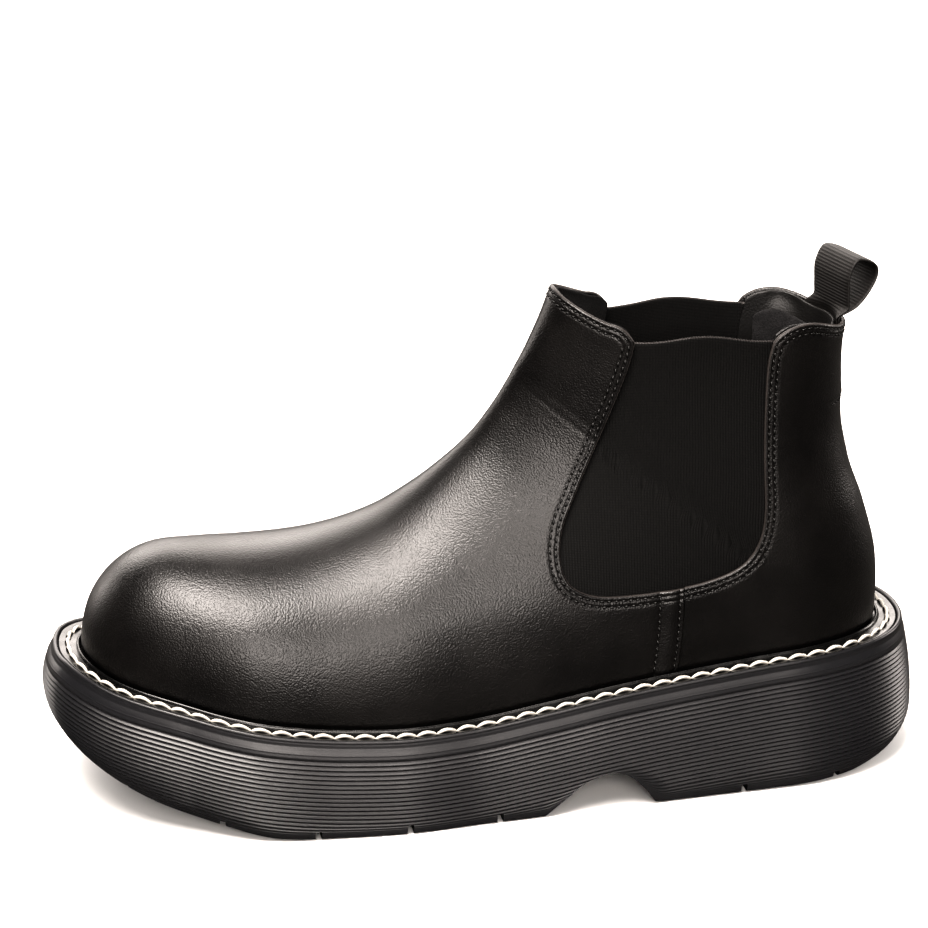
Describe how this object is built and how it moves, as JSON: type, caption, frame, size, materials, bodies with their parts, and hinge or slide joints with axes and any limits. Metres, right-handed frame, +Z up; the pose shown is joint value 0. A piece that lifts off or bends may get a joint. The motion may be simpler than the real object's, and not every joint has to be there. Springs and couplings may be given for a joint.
{
  "type": "chelsea boot",
  "caption": "Left ankle boot with elastic side panels, a stitched welt, a thick rounded ribbed rubber sole lifted at the waist, and a webbing pull tab at the back of the collar.",
  "frame": {"origin": "on the ground under the middle of the sole's length and width", "axes": "+X along the foot towards the heel, -Y towards the outer side of the foot, +Z up"},
  "size_m": [0.314, 0.121, 0.1822],
  "materials": {
    "sole_rubber": "satin",
    "welt_strip": "gloss",
    "white_thread": "matt",
    "filler_cork": "matt",
    "shank_steel": "satin",
    "insole_fibreboard": "matt",
    "footbed_foam": "matt",
    "upper_leather": "satin",
    "gore_elastic": "matt",
    "stiffener_board": "matt",
    "lining_textile": "matt",
    "facing_leather": "satin",
    "patch_suede": "matt",
    "black_thread": "satin",
    "tab_webbing": "matt"
  },
  "bodies": {
    "root": {"outsole": "sole_rubber", "welt": "welt_strip", "welt_stitching": "white_thread", "bottom_filler": "filler_cork", "shank": "shank_steel", "insole_board": "insole_fibreboard", "footbed": "footbed_foam", "vamp": "upper_leather", "back_quarter": "upper_leather", "outer_gore": "gore_elastic", "inner_gore": "gore_elastic", "toe_puff": "stiffener_board", "heel_counter": "stiffener_board", "vamp_lining": "lining_textile", "quarter_lining": "lining_textile", "collar_facing": "facing_leather", "heel_patch": "patch_suede", "outer_gore_stitching": "black_thread", "inner_gore_stitching": "black_thread", "outer_seam_stitching": "black_thread", "inner_seam_stitching": "black_thread", "collar_front_stitching": "black_thread", "collar_back_stitching": "black_thread", "back_tack_stitching": "black_thread", "pull_tab_tail": "tab_webbing"},
    "pull_tab": {"pull_tab": "tab_webbing"}
  },
  "joints": [
    {"name": "pull_tab_bend", "type": "hinge", "parent": "root", "child": "pull_tab", "pos_m": [0.1259, 0.0035, 0.1613], "axis": [-0.2756, 0.9613, 0], "range_deg": [-55, 55], "stiffness_Nm_per_rad": 0.02}
  ]
}
